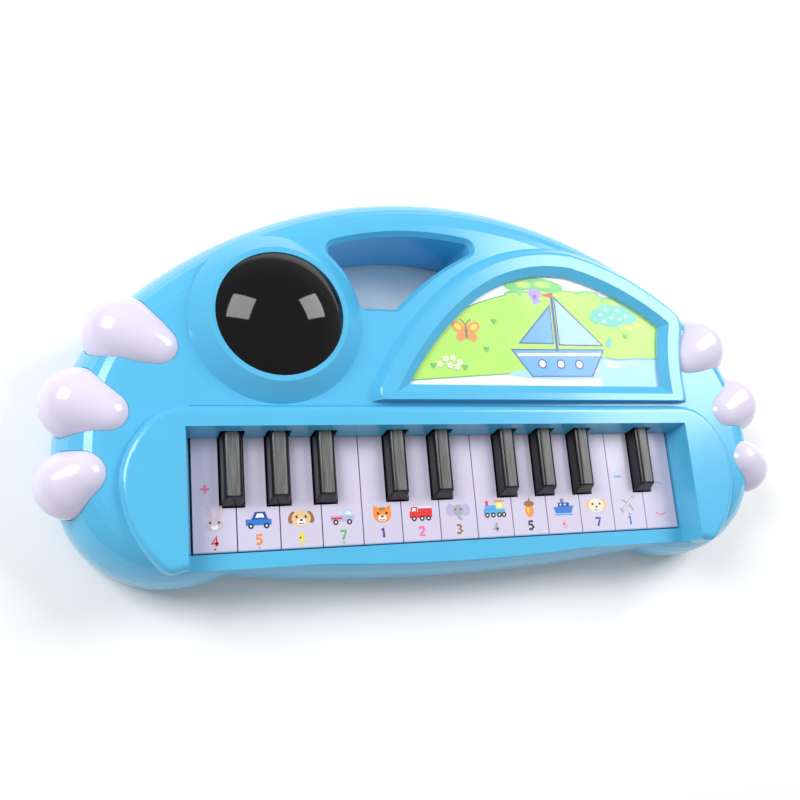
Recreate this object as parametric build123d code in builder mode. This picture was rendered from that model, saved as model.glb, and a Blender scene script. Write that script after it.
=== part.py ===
from build123d import *
from math import cos, radians, sin
import os

# Toy electronic keyboard: a hollow two-part case with a carrying handle, a lamp
# under a smoked dome, a framed picture, thirteen white and nine black keys on one
# rod, and the battery, sound and speaker parts inside.
# Origin: centre of the footprint on the table. +X to the player's right, +Y away
# from the player, +Z up. Millimetres.

# ---- driving dimensions ----
KEY_PITCH = 17.0            # spacing of the white keys
WHITE_KEYS = 13
BODY_DEPTH = 169.5          # front lip to the back of the handle
FRONT_Y = -BODY_DEPTH / 2
BACK_Y = BODY_DEPTH / 2
FOOT_HEIGHT = 1.5           # rubber feet below the case
SPLIT_Z = 10.5              # joint between the lower and upper shells
KEY_TOP_Z = 27.5            # top of the white keys
DECK_Z = 36.5               # flat top of the case
HOUSING_Z = 40.0            # top of the raised cheeks and band round the keys
RIM_Z = 40.5                # top of the frame round the picture
SHOULDER = 18.0             # how far in from the outline the rounded shoulder reaches
WALL = 2.2                  # moulded wall
SEAM = 0.15                 # gap left between fitted mouldings
STANDING = (Align.CENTER, Align.CENTER, Align.MIN)
HANGING = (Align.CENTER, Align.CENTER, Align.MAX)
KEY_FRONT_Y = FRONT_Y + 13.5
KEY_SPAN = KEY_PITCH * WHITE_KEYS

# Right half of the case outline as tangent arcs, from the middle of the back round
# to the front lip: (radius, turn in degrees); a negative turn curves the other way.
BODY_ARCS = (
    (198.7, 41.0),
    (89.8, 50.7),
    (64.3, 19.5),
    (42.7, 64.4),
    (55.4, 23.7),
    (8.0, -25.7),
)
LIP_TURN = 180 - sum(turn for radius, turn in BODY_ARCS)


def at(x, y):
    """A point given from the middle of the white keys' front edge."""
    return (x, y + KEY_FRONT_Y)


def body_face(inset, z):
    """The case outline moved in by inset, as a face at height z."""
    with BuildSketch(Plane.XY.offset(z)) as face:
        with BuildLine():
            point = Vector(0, BACK_Y - inset)
            heading = 0.0
            for radius, turn in BODY_ARCS:
                convex = turn > 0
                arc = JernArc(
                    point,
                    (cos(radians(heading)), -sin(radians(heading))),
                    radius - inset if convex else radius + inset,
                    -turn,
                )
                point = arc @ 1
                heading += turn
            lip_radius = point.X / sin(radians(LIP_TURN))
            JernArc(
                point,
                (cos(radians(heading)), -sin(radians(heading))),
                lip_radius,
                -LIP_TURN,
            )
            mirror(about=Plane.YZ)
        make_face()
    return face.sketch


def shoulder_solid(wall):
    """The domed case top as a solid, offset inward by wall: a quarter ellipse
    from the parting line up to the flat deck."""
    steps = 9
    with BuildPart() as solid:
        for step in range(steps + 1):
            angle = radians(90 * step / steps)
            inset = wall + (SHOULDER - wall) * (1 - cos(angle))
            height = (DECK_Z - SPLIT_Z - wall) * sin(angle)
            add(body_face(inset, SPLIT_Z + height))
        loft(ruled=True)
    return solid.part


def tube(points, radii, wire_radius):
    """A round wire along straight runs joined by tangent arcs."""
    with BuildLine() as path:
        FilletPolyline(*points, radius=radii)
    start = path.line @ 0
    with BuildSketch(Plane(origin=start, z_dir=path.line % 0)) as section:
        Circle(wire_radius)
    with BuildPart() as wire:
        sweep(section.sketch, path=path.line)
    return wire.part


def write(piece, name):
    """Label a finished piece and write it as its own file."""
    piece.part.label = name
    export_step(piece.part, f"parts/{name}.step")


os.makedirs("parts", exist_ok=True)

# ---- shared places ----
RECESS_X = 111.2            # half width of the key opening
RECESS_BACK_Y = KEY_FRONT_Y + 44.6
RECESS_FRONT_Y = KEY_FRONT_Y - 0.5
LIP_Z = KEY_TOP_Z + 0.8
BAND_BACK_Y = KEY_FRONT_Y + 55.3
PIVOT_Y = KEY_FRONT_Y + 57.0
PIVOT_Z = KEY_TOP_Z - 4.0
ROD_RADIUS = 1.5
ROD_HOLE = 1.55
DOME_X, DOME_Y = at(-75.6, 92.0)
DOME_RADIUS = 25.7
COLLAR_RADIUS = 35.8
DOME_SEAT_Z = 40.5
DOME_RIM_Z = 43.4
DOME_TOP_Z = 53.5
LAMP_BOARD_Z = 27.6
LAMP_BOARD_RADIUS = 27.0
LAMP_POSTS = 24.8           # radius of the ring of posts that carry the lamp board
POST_RADIUS = 2.4
BOARD_THICK = 1.6
BOSS_RADIUS = 3.6
SCREW_RADIUS = 1.3
PILOT_RADIUS = 0.95         # hole a small screw cuts its thread in
RIGHT_BOSSES = ((120, 60), (128, 8), (101, 110), (60, -4.2))
BOSS_PLACES = [at(side * x, y) for side in (-1, 1) for x, y in RIGHT_BOSSES]
TALL_BOSSES = BOSS_PLACES[:3] + BOSS_PLACES[4:7]
BOSS_SPLIT_Z = 14.0

# Boundaries between white keys are numbered from the left; a black key stands over
# each of these, shifted sideways by the second number.
BLACK_KEYS = (
    (1, -1.5),
    (2, 0.0),
    (3, 2.0),
    (5, -1.3),
    (6, 1.8),
    (8, -1.5),
    (9, 0.0),
    (10, 2.0),
    (12, 0.0),
)
BLACK_WIDTH = 9.0
BLACK_FRONT_Y = KEY_FRONT_Y + 17.5
BLACK_RISE = 6.5
BLACK_SLOPE = 3.0           # how far the sloped front leans back
BLACK_TOP_WIDTH = 6.8
RIB_BOUNDARIES = (4, 7, 11)
RIB_WIDTH = 2.4


def boundary_x(number):
    """Where white key number meets the next one."""
    return -KEY_SPAN / 2 + KEY_PITCH * number


def housing_face(z):
    """The raised cheeks and band round the keys, out to their rounded foot."""
    with BuildSketch(Plane.XY.offset(z)) as face:
        with BuildLine():
            Line(at(0, 55.3), at(114, 55.3))
            ThreePointArc(at(114, 55.3), at(123.8, 52.2), at(130.5, 45.5))
            ThreePointArc(at(130.5, 45.5), at(136.8, 32), at(136.6, 18.2))
            ThreePointArc(at(136.6, 18.2), at(131.8, 5.4), at(123.3, -5.6))
            ThreePointArc(at(123.3, -5.6), at(119.4, -7.5), at(115, -6.6))
            Line(at(115, -6.6), at(0, -6.6))
            mirror(about=Plane.YZ)
        make_face()
    return face.sketch


def window_face(z):
    """The inner edge of the picture frame."""
    with BuildSketch(Plane.XY.offset(z)) as face:
        with BuildLine():
            Line(at(-28, 60.5), at(109, 60.5))
            ThreePointArc(at(109, 60.5), at(109.4, 78), at(113, 95.5))
            ThreePointArc(at(113, 95.5), at(89, 110.8), at(62, 120.4))
            ThreePointArc(at(62, 120.4), at(35.7, 118.4), at(10.3, 106.2))
            ThreePointArc(at(10.3, 106.2), at(-13.8, 82.2), at(-28, 60.5))
        make_face()
    return face.sketch


def hand_hole_solid(grow):
    """The carrying hole between the collar, the frame and the handle bar, from
    below the case to above it, widened by grow."""
    with BuildSketch(Plane.XY.offset(-5)) as face:
        with BuildLine():
            Line(at(-39.2, 98.6), at(-23, 98.6))
            ThreePointArc(at(-23, 98.6), at(-1.6, 117), at(21.3, 129.6))
            ThreePointArc(at(21.3, 129.6), at(-15.5, 133), at(-54.6, 125))
            ThreePointArc(at(-54.6, 125), at(-43.4, 112), at(-39.2, 98.6))
        make_face()
        if grow > 0:
            offset(amount=grow, kind=Kind.INTERSECTION)
        fillet(face.vertices(), radius=3.0 + grow)
    with BuildPart() as solid:
        add(face.sketch)
        extrude(amount=60)
    return solid.part


# ---- claws: six egg-shaped inserts on the sides ----
# Each is an egg turned about its long axis, its big end outward and low, its tip
# inward and high: (big end x, y, z, radius), (tip x, y, z, radius), right side.
CLAWS = {
    "upper": ((135.5, 86.5, 26.5, 15.0), (122.5, 79.5, 30.5, 9.5)),
    "middle": ((151.5, 58.5, 25.5, 14.2), (141.0, 53.5, 30.5, 9.5)),
    "lower": ((154.0, 28.0, 25.0, 12.8), (149.0, 30.5, 30.5, 9.5)),
}
CLAW_FLANK = 60.0           # radius of the long arc that joins the two ends
CLAW_WALL = 2.0
CLAW_SEAM = 0.2


def claw_solid(name, side, grow):
    """One claw, grown by grow on every face, cut flat at the parting line."""
    (big_x, big_y, big_z, big_radius), (tip_x, tip_y, tip_z, tip_radius) = CLAWS[name]
    big = Vector(*at(side * big_x, big_y), big_z)
    tip = Vector(*at(side * tip_x, tip_y), tip_z)
    length = (tip - big).length
    # centre of the flank's arc, which touches both end spheres from outside
    big_reach = CLAW_FLANK - big_radius
    tip_reach = CLAW_FLANK - tip_radius
    centre_z = (big_reach**2 - tip_reach**2 + length**2) / (2 * length)
    centre = Vector(-((big_reach**2 - centre_z**2) ** 0.5), centre_z)
    flank = CLAW_FLANK + grow
    bottom = Vector(0, -big_radius - grow)
    big_edge = centre + (Vector(0, 0) - centre).normalized() * flank
    tip_edge = centre + (Vector(0, length) - centre).normalized() * flank
    top = Vector(0, length + tip_radius + grow)
    flank_middle = centre + (Vector(0, length / 2) - centre).normalized() * flank
    big_middle = (bottom + big_edge).normalized() * (big_radius + grow)
    tip_centre = Vector(0, length)
    tip_middle = tip_centre + (top + tip_edge - tip_centre * 2).normalized() * (tip_radius + grow)
    with BuildSketch(Plane.XZ) as half:
        with BuildLine():
            ThreePointArc(bottom, big_middle, big_edge)
            ThreePointArc(big_edge, flank_middle, tip_edge)
            ThreePointArc(tip_edge, tip_middle, top)
            Line(top, bottom)
        make_face()
    with BuildPart() as egg:
        add(half.sketch)
        revolve(axis=Axis.Z)
    with BuildPart() as claw:
        add(Plane(origin=big, z_dir=tip - big).location * egg.part)
        split(bisect_by=Plane.XY.offset(SPLIT_Z - grow), keep=Keep.TOP)
    return claw.part


# ---- upper shell ----
# raised cheeks and band, with a soft outer shoulder
with BuildPart() as housing:
    add(housing_face(KEY_TOP_Z - 1.4))
    extrude(amount=HOUSING_Z - KEY_TOP_Z + 1.4)
    fillet(housing.faces().sort_by(Axis.Z)[-1].edges(), radius=3.2)

# rounded collar that carries the dome
COLLAR_FOOT_Z = DECK_Z - 1
with BuildPart() as collar:
    with BuildSketch(Plane.XZ.offset(-DOME_Y)):
        with BuildLine():
            foot = (DOME_X + COLLAR_RADIUS, DECK_Z)
            crown = (DOME_X + DOME_RADIUS + 2.4, DOME_RIM_Z)
            Line((DOME_X, COLLAR_FOOT_Z), (DOME_X + COLLAR_RADIUS, COLLAR_FOOT_Z))
            Line((DOME_X + COLLAR_RADIUS, COLLAR_FOOT_Z), foot)
            ThreePointArc(foot, (DOME_X + COLLAR_RADIUS - 4.6, DOME_RIM_Z - 2.6), crown)
            Line(crown, (DOME_X, DOME_RIM_Z))
            Line((DOME_X, DOME_RIM_Z), (DOME_X, COLLAR_FOOT_Z))
        make_face()
    revolve(axis=Axis((DOME_X, DOME_Y, 0), (0, 0, 1)))

# frame round the picture: its outer side slopes up from a foot that runs down to
# the shoulder, and its back meets the band
FRAME_REACH = 10.5
FRAME_FOOT_Z = LIP_Z
with BuildPart() as frame_rim:
    with BuildSketch(Plane.XY.offset(DECK_Z - 0.5)):
        add(window_face(0))
        offset(amount=FRAME_REACH)
    extrude(amount=RIM_Z - DECK_Z + 0.5, taper=42)
    fillet(frame_rim.faces().sort_by(Axis.Z)[-1].edges(), radius=2.4)
    with BuildSketch(Plane.XY.offset(FRAME_FOOT_Z)):
        add(window_face(0))
        offset(amount=FRAME_REACH)
    extrude(amount=DECK_Z - 0.5 - FRAME_FOOT_Z)
    with Locations((40, BAND_BACK_Y + 2.2, FRAME_FOOT_Z - 1)):
        Box(300, 100, 40, align=(Align.CENTER, Align.MAX, Align.MIN), mode=Mode.SUBTRACT)

# hollow inside, left solid above and around the key opening
with BuildPart() as cavity:
    add(shoulder_solid(WALL))
    with Locations((0, RECESS_BACK_Y + WALL - 100, LIP_Z - WALL + 20)):
        Box(2 * (RECESS_X + WALL), 200, 40, mode=Mode.SUBTRACT)

# wall round the hand hole
with BuildPart() as hole_wall:
    add(hand_hole_solid(WALL))
    add(shoulder_solid(0), mode=Mode.INTERSECT)

# outward slope that eases the upper edge of the hand hole
with BuildPart() as eased_edge:
    add(hand_hole_solid(0).faces().sort_by(Axis.Z)[0].moved(Location((0, 0, DECK_Z + 2.5))))
    extrude(amount=8, taper=-35)

# slope from the frame's inner edge down to the picture
FRAME_BEVEL = 4.0
with BuildPart() as bevel:
    with BuildSketch(Plane.XY.offset(RIM_Z - 2.6)):
        add(window_face(0))
        offset(amount=-FRAME_BEVEL, kind=Kind.INTERSECTION)
    extrude(amount=2.7, taper=-56.5)

with BuildPart() as upper_shell:
    add(shoulder_solid(0))
    add(housing.part)
    add(collar.part)
    add(frame_rim.part)
    add(cavity.part, mode=Mode.SUBTRACT)
    add(hole_wall.part)
    # side and front walls of the key opening, which also carry the rod's ends
    wall_top = LIP_Z - 1
    wall_bottom = SPLIT_Z + 5.5
    with Locations((0, (RECESS_FRONT_Y - WALL + PIVOT_Y + 5) / 2, (wall_top + wall_bottom) / 2)):
        Box(
            2 * (RECESS_X + WALL),
            PIVOT_Y + 5 - RECESS_FRONT_Y + WALL,
            wall_top - wall_bottom,
        )
    with Locations((0, (RECESS_FRONT_Y + PIVOT_Y + 20) / 2, wall_bottom)):
        Box(
            2 * RECESS_X,
            PIVOT_Y + 20 - RECESS_FRONT_Y,
            2 * (LIP_Z - wall_bottom),
            mode=Mode.SUBTRACT,
        )
    # key opening: walls flare outward above the keys, and the front is open above the lip
    with BuildSketch(Plane.XY.offset(LIP_Z)):
        with Locations((0, (RECESS_BACK_Y + FRONT_Y - 40) / 2)):
            Rectangle(2 * RECESS_X, RECESS_BACK_Y - FRONT_Y + 40)
    extrude(amount=HOUSING_Z - LIP_Z + 1, taper=-11, mode=Mode.SUBTRACT)
    with Locations((0, (RECESS_BACK_Y + RECESS_FRONT_Y) / 2, LIP_Z)):
        Box(2 * RECESS_X, RECESS_BACK_Y - RECESS_FRONT_Y, 30, mode=Mode.SUBTRACT)
    # room for the backs of the keys below the band
    key_room_top = KEY_TOP_Z + BLACK_RISE + 2.6
    with Locations((0, BAND_BACK_Y - 3.4, LIP_Z)):
        Box(2 * RECESS_X, 7.4, 2 * (key_room_top - LIP_Z), mode=Mode.SUBTRACT)
    # slots in the band where the black keys pass under it
    for number, shift in BLACK_KEYS:
        with Locations((boundary_x(number) + shift, RECESS_BACK_Y, LIP_Z)):
            Box(BLACK_WIDTH + 0.8, 14, 2 * (BLACK_RISE + 0.1), mode=Mode.SUBTRACT)
    # hand hole, its upper edge eased outward
    add(hand_hole_solid(0), mode=Mode.SUBTRACT)
    add(eased_edge.part, mode=Mode.SUBTRACT)
    # dome seat
    with Locations((DOME_X, DOME_Y, DOME_SEAT_Z)):
        Cylinder(DOME_RADIUS + SEAM, 10, align=STANDING, mode=Mode.SUBTRACT)
        Cylinder(DOME_RADIUS - 3.2, 40, mode=Mode.SUBTRACT)
    # posts for the lamp board
    lamp_post_z = LAMP_BOARD_Z + BOARD_THICK
    with Locations((DOME_X, DOME_Y, lamp_post_z)):
        with PolarLocations(LAMP_POSTS, 3, start_angle=30):
            Cylinder(POST_RADIUS, DECK_Z - WALL + 0.5 - lamp_post_z, align=STANDING)
            Cylinder(PILOT_RADIUS, 9, mode=Mode.SUBTRACT)
    # bevel down to the picture, and the flat pocket that holds it
    add(bevel.part, mode=Mode.SUBTRACT)
    with BuildSketch(Plane.XY.offset(RIM_Z - 4.3)):
        add(window_face(0))
        offset(amount=-FRAME_BEVEL, kind=Kind.INTERSECTION)
    extrude(amount=2, mode=Mode.SUBTRACT)
    # ribs that carry the rod between the keys
    for number in RIB_BOUNDARIES:
        with Locations((boundary_x(number), PIVOT_Y + 0.3, PIVOT_Z - 3)):
            Box(RIB_WIDTH, 8, DECK_Z + 2 - PIVOT_Z, align=STANDING)
    with Locations(Location((0, PIVOT_Y, PIVOT_Z), (0, 90, 0))):
        Cylinder(ROD_HOLE, 2 * (RECESS_X + WALL - 0.6), mode=Mode.SUBTRACT)
    # screw bosses
    for x, y in BOSS_PLACES:
        with Locations((x, y, BOSS_SPLIT_Z)):
            Cylinder(BOSS_RADIUS, LIP_Z - 3 - BOSS_SPLIT_Z, align=STANDING)
    for x, y in TALL_BOSSES:
        with Locations((x, y, LIP_Z - 4)):
            Cylinder(BOSS_RADIUS, DECK_Z - WALL + 0.2 - LIP_Z + 4, align=STANDING)
    for x, y in BOSS_PLACES:
        with Locations((x, y, BOSS_SPLIT_Z - 1)):
            Cylinder(SCREW_RADIUS + 0.05, 11, align=STANDING, mode=Mode.SUBTRACT)
    # sockets of the claws
    sockets = [claw_solid(name, side, CLAW_SEAM) for name in CLAWS for side in (-1, 1)]
    add(sockets, mode=Mode.SUBTRACT)
write(upper_shell, "upper_shell")

# ---- claws ----
for name in CLAWS:
    for side, side_name in ((-1, "left"), (1, "right")):
        with BuildPart() as claw:
            add(claw_solid(name, side, 0))
            add(claw_solid(name, side, -CLAW_WALL), mode=Mode.SUBTRACT)
            with Locations((0, 0, SPLIT_Z - 0.1)):
                Box(400, 400, CLAW_WALL + 0.2, align=STANDING, mode=Mode.SUBTRACT)
        write(claw, f"claw_{side_name}_{name}")

# ---- lower shell ----
FLOOR = 2.0
BATTERY_LOW_X, BATTERY_HIGH_X = -6.0, 56.0
BATTERY_LOW_Y, BATTERY_HIGH_Y = KEY_FRONT_Y + 61.6, KEY_FRONT_Y + 109.0
BATTERY_ROOF_Z = 20.3
BATTERY_WALL = 1.6
BATTERY_X = (BATTERY_LOW_X + BATTERY_HIGH_X) / 2
BATTERY_Y = (BATTERY_LOW_Y + BATTERY_HIGH_Y) / 2
BAY_LENGTH = BATTERY_HIGH_X - BATTERY_LOW_X - 2 * BATTERY_WALL
BAY_WIDTH = BATTERY_HIGH_Y - BATTERY_LOW_Y - 2 * BATTERY_WALL
TAB_WIDTH = 12.0
TAB_LENGTH = 6.0
TAB_Y = BATTERY_Y - BAY_WIDTH / 2 - TAB_LENGTH / 2
SPEAKER_X, SPEAKER_Y = at(86.0, 84.0)
SPEAKER_RADIUS = 25.0
GRILLE_HOLE = 1.4
GRILLE_RINGS = ((6.0, 6), (11.5, 12), (17.0, 18))
BOARD_X, BOARD_Y = at(-84.0, 76.0)
BOARD_LENGTH, BOARD_WIDTH = 50.0, 28.0
BOARD_Z = 8.0
SWITCH_X, SWITCH_Y = at(125.0, 32.0)
KEY_BOARD_Z = 12.0
KEY_BOARD_LOW_Y, KEY_BOARD_HIGH_Y = KEY_FRONT_Y + 5.0, KEY_FRONT_Y + 41.0
KEY_BOARD_HALF = 108.0
KEY_POSTS = [(x, KEY_FRONT_Y + 38.0) for x in (-100, -50, 0, 50, 100)]
BOARD_POSTS = [(BOARD_X + sx * 21, BOARD_Y + sy * 10) for sx in (-1, 1) for sy in (-1, 1)]
FEET = [at(sx * x, y) for sx in (-1, 1) for x, y in ((108, 0), (112, 92))]
FOOT_RADIUS = 5.0

with BuildPart() as lower_cavity:
    add(body_face(WALL, FOOT_HEIGHT + FLOOR))
    extrude(amount=SPLIT_Z)
    fillet(lower_cavity.faces().sort_by(Axis.Z)[0].edges(), radius=3.0)

with BuildPart() as lower_hole_wall:
    add(hand_hole_solid(WALL))
    split(bisect_by=Plane.XY.offset(SPLIT_Z), keep=Keep.BOTTOM)
    split(bisect_by=Plane.XY.offset(FOOT_HEIGHT), keep=Keep.TOP)

with BuildPart() as lower_shell:
    add(body_face(0, FOOT_HEIGHT))
    extrude(amount=SPLIT_Z - FOOT_HEIGHT)
    fillet(lower_shell.faces().sort_by(Axis.Z)[0].edges(), radius=4.5)
    add(lower_cavity.part, mode=Mode.SUBTRACT)
    add(lower_hole_wall.part)
    add(hand_hole_solid(0), mode=Mode.SUBTRACT)
    # screw bosses, joined from below
    for x, y in BOSS_PLACES:
        with Locations((x, y, FOOT_HEIGHT + 0.5)):
            Cylinder(BOSS_RADIUS + 0.8, BOSS_SPLIT_Z - 0.6 - FOOT_HEIGHT, align=STANDING)
    # battery box
    with Locations((BATTERY_X, BATTERY_Y, FOOT_HEIGHT)):
        Box(
            BAY_LENGTH + 2 * BATTERY_WALL,
            BAY_WIDTH + 2 * BATTERY_WALL,
            BATTERY_ROOF_Z - FOOT_HEIGHT,
            align=STANDING,
        )
        Box(
            BAY_LENGTH,
            BAY_WIDTH,
            2 * (BATTERY_ROOF_Z - FOOT_HEIGHT - BATTERY_WALL),
            mode=Mode.SUBTRACT,
        )
    # boss under the battery door's screw tab
    with Locations((BATTERY_X, TAB_Y, FOOT_HEIGHT)):
        Box(TAB_WIDTH + 3, TAB_LENGTH, 9, align=STANDING)
        Box(TAB_WIDTH + 0.4, TAB_LENGTH + 0.2, 2 * FLOOR, mode=Mode.SUBTRACT)
        Cylinder(SCREW_RADIUS + 0.05, 15, mode=Mode.SUBTRACT)
    # speaker grille: rings of round holes, and a locating ring
    with Locations((SPEAKER_X, SPEAKER_Y, 0)):
        Cylinder(GRILLE_HOLE, 12, mode=Mode.SUBTRACT)
        for ring_radius, holes in GRILLE_RINGS:
            with PolarLocations(ring_radius, holes):
                Cylinder(GRILLE_HOLE, 12, mode=Mode.SUBTRACT)
    with BuildSketch(Plane.XY.offset(FOOT_HEIGHT + FLOOR - 0.2)):
        with Locations((SPEAKER_X, SPEAKER_Y)):
            Circle(SPEAKER_RADIUS + 1.9)
            Circle(SPEAKER_RADIUS + 0.3, mode=Mode.SUBTRACT)
    extrude(amount=4)
    # posts for the two lower boards
    for x, y in KEY_POSTS:
        with Locations((x, y, FOOT_HEIGHT + 0.5)):
            Cylinder(POST_RADIUS, KEY_BOARD_Z - FOOT_HEIGHT - 0.5, align=STANDING)
    for x, y in BOARD_POSTS:
        with Locations((x, y, FOOT_HEIGHT + 0.5)):
            Cylinder(POST_RADIUS, BOARD_Z - FOOT_HEIGHT - 0.5, align=STANDING)
    # ledge that carries the front edge of the key board
    with Locations((0, KEY_BOARD_LOW_Y + 1.2, FOOT_HEIGHT + 0.5)):
        Box(200, 1.6, KEY_BOARD_Z - FOOT_HEIGHT - 0.5, align=STANDING)
    # screw ways up through the bosses, with sunk heads
    for x, y in BOSS_PLACES:
        with Locations((x, y, 0)):
            Cylinder(SCREW_RADIUS + 0.15, 60, mode=Mode.SUBTRACT)
            Cylinder(3.0, 2 * (FOOT_HEIGHT + 3.5), mode=Mode.SUBTRACT)
    for x, y in KEY_POSTS + BOARD_POSTS:
        with Locations((x, y, FOOT_HEIGHT + FLOOR + 0.5)):
            Cylinder(PILOT_RADIUS, 20, align=STANDING, mode=Mode.SUBTRACT)
    # slot of the power switch, with a sunk surround
    with Locations((SWITCH_X, SWITCH_Y, 0)):
        Box(13, 6, 20, mode=Mode.SUBTRACT)
        Box(20, 10, 2 * (FOOT_HEIGHT + 0.8), mode=Mode.SUBTRACT)
    # shallow seats of the rubber feet
    for x, y in FEET:
        with Locations((x, y, 0)):
            Cylinder(FOOT_RADIUS, 2 * (FOOT_HEIGHT + 0.5), mode=Mode.SUBTRACT)
write(lower_shell, "lower_shell")

# ---- dome lens ----
LENS_WALL = 1.6
LENS_SPHERE = (DOME_RADIUS**2 + (DOME_TOP_Z - DOME_RIM_Z) ** 2) / (2 * (DOME_TOP_Z - DOME_RIM_Z))
with BuildPart() as dome_lens:
    with Locations((DOME_X, DOME_Y, DOME_TOP_Z - LENS_SPHERE)):
        Sphere(LENS_SPHERE)
        Sphere(LENS_SPHERE - LENS_WALL, mode=Mode.SUBTRACT)
    split(bisect_by=Plane.XY.offset(DOME_RIM_Z), keep=Keep.TOP)
    with BuildSketch(Plane.XY.offset(DOME_SEAT_Z)):
        with Locations((DOME_X, DOME_Y)):
            Circle(DOME_RADIUS)
            Circle(DOME_RADIUS - 2.6, mode=Mode.SUBTRACT)
    extrude(amount=DOME_RIM_Z - DOME_SEAT_Z)
write(dome_lens, "dome_lens")

# ---- lamp: reflector, board, LEDs ----
REFLECTOR_TOP_Z = DOME_SEAT_Z + 1.0
with BuildPart() as lamp_reflector:
    with BuildSketch(Plane.XY.offset(LAMP_BOARD_Z + BOARD_THICK)):
        with Locations((DOME_X, DOME_Y)):
            Circle(12.0)
    with BuildSketch(Plane.XY.offset(REFLECTOR_TOP_Z)):
        with Locations((DOME_X, DOME_Y)):
            Circle(DOME_RADIUS - 3.4)
    loft()
    with BuildSketch(Plane.XY.offset(LAMP_BOARD_Z + BOARD_THICK)):
        with Locations((DOME_X, DOME_Y)):
            Circle(11.0)
    with BuildSketch(Plane.XY.offset(REFLECTOR_TOP_Z)):
        with Locations((DOME_X, DOME_Y)):
            Circle(DOME_RADIUS - 4.4)
    loft(mode=Mode.SUBTRACT)
write(lamp_reflector, "lamp_reflector")

with BuildPart() as lamp_board:
    with BuildSketch(Plane.XY.offset(LAMP_BOARD_Z)):
        with Locations((DOME_X, DOME_Y)):
            Circle(LAMP_BOARD_RADIUS)
            with PolarLocations(LAMP_POSTS, 3, start_angle=30):
                Circle(1.0, mode=Mode.SUBTRACT)
    extrude(amount=BOARD_THICK)
write(lamp_board, "lamp_board")

with BuildPart() as lamp_leds:
    with Locations((DOME_X, DOME_Y, LAMP_BOARD_Z + BOARD_THICK)):
        with PolarLocations(7.0, 6):
            Cylinder(1.5, 3.0, align=STANDING)
    fillet(lamp_leds.faces().group_by(Axis.Z)[-1].edges(), radius=1.2)
write(lamp_leds, "lamp_leds")

# ---- picture: printed sheet under a clear plate ----
PICTURE_POCKET_Z = RIM_Z - 4.3
with BuildPart() as picture_film:
    with BuildSketch(Plane.XY.offset(PICTURE_POCKET_Z)):
        add(window_face(0))
        offset(amount=-FRAME_BEVEL - 0.1, kind=Kind.INTERSECTION)
    extrude(amount=0.3)
write(picture_film, "picture_film")

with BuildPart() as picture_window:
    with BuildSketch(Plane.XY.offset(PICTURE_POCKET_Z + 0.3)):
        add(window_face(0))
        offset(amount=-FRAME_BEVEL - 0.1, kind=Kind.INTERSECTION)
    extrude(amount=1.3)
write(picture_window, "picture_window")

# ---- keys ----
KEY_GAP = 0.25              # half the gap between neighbouring white keys
KEY_DEPTH = 9.0
KEY_PLATE = 2.0
KEY_SKIRT = 1.4
HUB_RADIUS = 3.5
NOTCH = BLACK_WIDTH / 2 + 0.6
WHITE_PLUNGER_Y = KEY_FRONT_Y + 21.0
BLACK_PLUNGER_Y = KEY_FRONT_Y + 30.0
PLUNGER_Z = KEY_TOP_Z - 9.3
SHIFTS = dict(BLACK_KEYS)


def white_arm(number):
    """Left and right sides of a white key's arm between its black neighbours."""
    left = boundary_x(number - 1) + KEY_GAP
    right = boundary_x(number) - KEY_GAP
    if number - 1 in SHIFTS:
        left = boundary_x(number - 1) + SHIFTS[number - 1] + NOTCH
    if number in SHIFTS:
        right = boundary_x(number) + SHIFTS[number] - NOTCH
    return left, right


def hub_sides(number):
    """The arm's sides at the rod, set back from the case's ribs and walls."""
    left, right = white_arm(number)
    if number - 1 not in SHIFTS:
        left = left + RIB_WIDTH / 2 + 0.4
    if number not in SHIFTS:
        right = right - RIB_WIDTH / 2 - 0.4
    return left, right


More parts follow.
